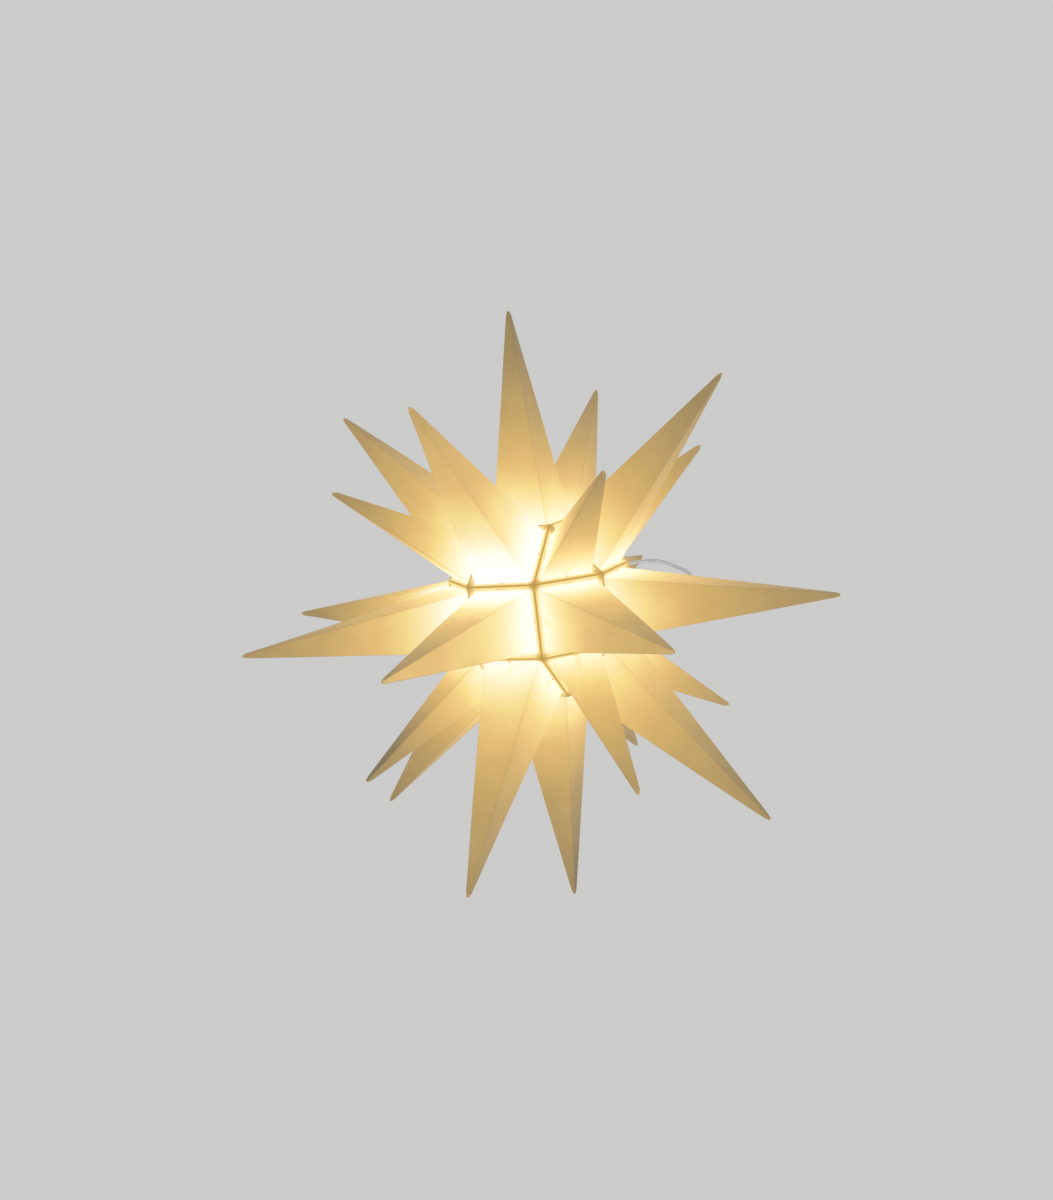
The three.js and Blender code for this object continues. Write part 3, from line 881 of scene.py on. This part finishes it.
def refined(name, node, body, slot, width=0.3, segments=3, angle=28):
    """The CAD shape with its sharp edges eased, as a moulding or a machined part has them."""
    mesh = bare_copy(node, name, slot)
    o = bpy.data.objects.new(name, mesh)
    scene.collection.objects.link(o)
    import bmesh
    bm = bmesh.new()
    bm.from_mesh(mesh)
    bmesh.ops.remove_doubles(bm, verts=bm.verts, dist=2e-6)
    bmesh.ops.dissolve_limit(bm, angle_limit=math.radians(1.0), verts=bm.verts, edges=bm.edges)
    bmesh.ops.connect_verts_concave(bm, faces=bm.faces)
    bm.to_mesh(mesh)
    bm.free()
    mesh.polygons.foreach_set("use_smooth", [True] * len(mesh.polygons))
    bevel = o.modifiers.new("eased_edges", "BEVEL")
    bevel.width = width * MM
    bevel.segments = segments
    bevel.limit_method = "ANGLE"
    bevel.angle_limit = math.radians(angle)
    bevel.use_clamp_overlap = True
    bevel.harden_normals = False
    o.modifiers.new("flat_faces", "WEIGHTED_NORMAL").keep_sharp = False
    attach(o, body)
    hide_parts(node)
    return o


def build_bail():
    z, y, t = PIVOT_Z, BAIL_HALF, PIVOT_Z + BAIL_H
    half = [
        (-(EAR_Y - EAR_T / 2 - 1.6), z), (-(EAR_Y + EAR_T / 2 + 0.3), z), (-(y - 0.7), z + 0.35), (-y, z + 2.2),
        (-y, z + 14), (-(y - 0.6), z + 24), (-(y - 4.2), z + 35), (-(y - 9.2), z + 44),
        (-5.6, t - 2.4), (-2.6, t - 0.35), (0, t),
    ]
    ctrl = [np.array((0.0, a, b)) for a, b in half] + [np.array((0.0, -a, b)) for a, b in reversed(half[:-1])]
    ctrl = [2 * ctrl[0] - ctrl[1]] + ctrl + [2 * ctrl[-1] - ctrl[-2]]
    path = []
    for i in range(1, len(ctrl) - 2):
        p0, p1, p2, p3 = ctrl[i - 1:i + 3]
        d = [max(1e-4, np.linalg.norm(b - a) ** 0.5) for a, b in ((p0, p1), (p1, p2), (p2, p3))]
        t1 = (p1 - p0) / d[0] - (p2 - p0) / (d[0] + d[1]) + (p2 - p1) / d[1]
        t2 = (p2 - p1) / d[1] - (p3 - p1) / (d[1] + d[2]) + (p3 - p2) / d[2]
        t1, t2 = t1 * d[1], t2 * d[1]
        steps = max(3, int(np.linalg.norm(p2 - p1) / 1.1))
        for s in range(steps):
            u = s / steps
            path.append((2 * u ** 3 - 3 * u ** 2 + 1) * p1 + (u ** 3 - 2 * u ** 2 + u) * t1
                        + (-2 * u ** 3 + 3 * u ** 2) * p2 + (u ** 3 - u ** 2) * t2)
    path.append(ctrl[-2])
    path = np.array(path)
    tan = np.gradient(path, axis=0)
    tan /= np.linalg.norm(tan, axis=1)[:, None]
    side = np.array([1.0, 0, 0])
    rows = []
    first, last = path[0], path[-1]
    for f, r in ((0.42, 0.35), (0.30, 0.72), (0.12, 0.94)):
        rows.append((first - tan[0] * (-(0.42 - f)) , tan[0], WIRE_R * r))
    rows += [(p, t_, WIRE_R) for p, t_ in zip(path[1:-1], tan[1:-1])]
    for f, r in ((0.12, 0.94), (0.30, 0.72), (0.42, 0.35)):
        rows.append((last - tan[-1] * (0.42 - f), tan[-1], WIRE_R * r))
    seg = 20
    verts, faces = [], []
    for p, t_, r in rows:
        other = np.cross(t_, side)
        for j in range(seg):
            a = 2 * math.pi * j / seg
            verts.append(star_to_row(p + (side * math.cos(a) + other * math.sin(a)) * r))
    for i in range(len(rows) - 1):
        for j in range(seg):
            a, b, k = i * seg, (i + 1) * seg, (j + 1) % seg
            faces.append((a + j, b + j, b + k, a + k))
    faces.append(tuple(range(seg)))
    faces.append(tuple(reversed(range((len(rows) - 1) * seg, len(rows) * seg))))
    v = np.array(verts)
    mid = v.mean(0)
    vol = sum(np.dot(v[f[0]] - mid, np.cross(v[f[i]] - mid, v[f[i + 1]] - mid)) for f in faces for i in range(1, len(f) - 1))
    if vol < 0:
        faces = [tuple(reversed(f)) for f in faces]
    o = make_object("bail_wire", verts, faces, "steel_wire")
    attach(o, "hanger")
    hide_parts("bail")


def build_hardware():
    z = GLAND_Z
    build_bail()
    eased_plate("lid_moulding", "lid", "lid", "lid_plastic", 0.28, 2)
    refined("gland_body_moulding", "gland_body", "lid", "gland_plastic", 0.35, 3)
    refined("gland_nut_moulding", "gland_nut", "gland_turn", "gland_plastic", 0.35, 3)
    refined("gland_lock_nut_moulding", "gland_lock_nut", "lid", "gland_plastic", 0.3, 2)
    turned("gland_bush", "gland_seal", "lid", "rubber",
           [(3.55, z + 7.0), (4.55, z + 7.0), (4.55, z + 11.4), (3.55, z + 11.4)], 0.3, 48)
    turned("gland_clamp", "gland_clamp_ring", "gland_lift", "gland_plastic",
           [(3.6, z + 11.75), (5.9, z + 11.75), (5.9, z + 13.4), (4.9, z + 14.2), (3.6, z + 14.2)], 0.25, 64)
    turned("holder_cap", "lampholder_cap", "lid", "holder_plastic", [
        (5.3, HOLD_TOP), (5.3, HOLD_TOP - 12.5), (11.6, HOLD_TOP - 15.5), (11.6, 28.4), (13.4, 28.4), (13.4, 32.0),
        (12.9, HOLD_TOP - 14.6), (8.4, HOLD_TOP - 10.2), (8.4, HOLD_TOP)], 0.5, 72)
    turned("holder_skirt", "lampholder_skirt", "lid", "holder_plastic", [
        (9.6, RIM_Z), (12.0, RIM_Z), (12.0, RIM_Z + 3), (12.9, RIM_Z + 3.6), (13.4, 28.1), (10.6, 28.1)], 0.4, 72)
    refined("holder_block", "lampholder_contact_block", "lid", "block_plastic", 0.25, 2)

    pitch = 2.82

    def inner_thread(r, zz, a):
        if 9.0 < zz < 26.0 and r < 9.0:
            fade = min(1.0, (zz - 9.0) / 1.5, (26.0 - zz) / 1.5)
            return r + 0.18 * fade * math.cos(2 * math.pi * (zz / pitch) - a) - (0.0 if r > 7.6 else 0.0)
        return r

    rows_in = [(7.35 + 0.18, RIM_Z + 4 + (27.9 - RIM_Z - 4) * i / 64) for i in range(65)]
    rows_out = [(8.0 - 0.18, 27.0 - (27.0 - RIM_Z - 4) * i / 56) for i in range(57)]
    turned("holder_thread", "lampholder_thread", "lid", "brass",
           rows_out[::-1] + [(10.2, 27.0), (10.2, 27.9)] + rows_in[::-1], 0.15, 64, wave=inner_thread)
    refined("holder_tongue", "lampholder_centre_contact", "lid", "brass", 0.12, 2)
    for i in (1, 2):
        refined(f"terminal_screw_{i}_eased", f"terminal_screw_{i}", "lid", "brass", 0.2, 2)

    refined("lamp_stud", "lamp_contact_stud", "lamp_lift", "tinned_metal", 0.25, 3)
    turned("lamp_insulator", "lamp_contact_insulator", "lamp", "block_plastic",
           [(0, 20.6), (5.6, 20.6), (5.6, 22.3), (3.0, 24.4), (0, 24.4)], 0.4, 64)

    def thread(r, zz, a):
        if r > 6.2 and 4.9 < zz < 20.2:
            fade = max(0.0, min(1.0, (zz - 4.9) / 1.2, (20.2 - zz) / 1.2))
            return 6.75 + 0.22 * fade * math.cos(2 * math.pi * (zz - 5.0) / pitch - a)
        return r

    wave = [(6.75, 5.0 + 15.2 * i / 84) for i in range(85)]
    turned("lamp_cap_rolled", "lamp_screw_cap", "lamp", "tinned_metal",
           [(5.9, 4.2), (6.6, 4.2)] + wave + [(6.3, 20.3), (5.9, 20.3)], 0.12, 72, wave=thread)
    turned("lamp_driver_housing", "lamp_housing", "lamp", "lamp_plastic", [
        (0, -7.6), (14.9, -7.6), (14.9, -9.6), (16.4, -9.6), (16.4, -8.2), (15.4, -5.6), (12.6, -1.6), (9.2, 2.2),
        (7.2, 3.8), (5.5, 3.8), (5.5, 10.0), (0, 10.0)], 0.6, 80)
    refined("lamp_board", "lamp_led_board", "lamp", "board", 0.12, 2)
    t0 = math.acos(10.1 / GLOBE_R)
    n = 40
    outer = [(GLOBE_R * math.sin(t0 + (math.pi - t0) * i / n) if i < n else 0.0, GLOBE_Z + GLOBE_R * math.cos(t0 + (math.pi - t0) * i / n))
             for i in range(n + 1)]
    ri = GLOBE_R - 1.0
    inner = [(ri * math.sin(t0 + (math.pi - t0) * i / n) if i < n else 0.0,
              GLOBE_Z + ri * math.cos(t0 + (math.pi - t0) * i / n) + (10.1 - ri * math.cos(t0) if i == 0 else 0)) for i in range(n + 1)]
    turned("lamp_frosted_globe", "lamp_globe", "lamp", "globe_plastic", inner + outer[::-1], 0.2, 80)


build_hardware()

# ------------------------------------------------------------------ CAD nodes that stay
SLOTS = {s["node"]: s["material_slot"] for s in frame["record"]["subparts"]}
for name, o in frame["nodes"].items():
    slot = SLOTS.get(name)
    if slot is None:
        continue
    o.data.materials.clear()
    o.data.materials.append(MAT[slot])


# ------------------------------------------------------------------ floor
def floor():
    rings_, seg = 10, 64
    verts, faces = [(0, 0, 0)], []
    for i in range(1, rings_ + 1):
        r = 6000.0 * (i / rings_) ** 1.3
        for j in range(seg):
            a = 2 * math.pi * j / seg
            verts.append((r * math.cos(a), r * math.sin(a), 0))
    for j in range(seg):
        faces.append((0, 1 + j, 1 + (j + 1) % seg))
    for i in range(1, rings_):
        for j in range(seg):
            a, b = 1 + (i - 1) * seg, 1 + i * seg
            faces.append((a + j, b + j, b + (j + 1) % seg, a + (j + 1) % seg))
    n = Nodes("floor")
    MAT["floor"] = n.mat
    p = n.coord()
    d = n.new("ShaderNodeVectorMath", operation="LENGTH")
    n.link(p, d.inputs[0])
    fade = n.range(d.outputs["Value"], 0.6, 3.2, 0.0, 1.0, True)
    cloud = n.noise(p, 3.0, 3.0, 0.5)
    base = n.mix(n.range(cloud, 0.3, 0.7, 0, 1), (0.83, 0.83, 0.82), (0.87, 0.87, 0.86))
    n.link(n.mix(fade, base, (0, 0, 0)), n.bsdf.inputs["Base Color"])
    n.link(n.mix(fade, (0, 0, 0), PALE), n.bsdf.inputs["Emission Color"])
    n.bsdf.inputs["Emission Strength"].default_value = 1.0
    n.bsdf.inputs["Roughness"].default_value = 0.9
    n.bsdf.inputs["Specular IOR Level"].default_value = 0.0
    o = make_object("floor", verts, faces, "floor", False)
    o.location = (0, 0, -1.6)


floor()

bpy.context.view_layer.update()
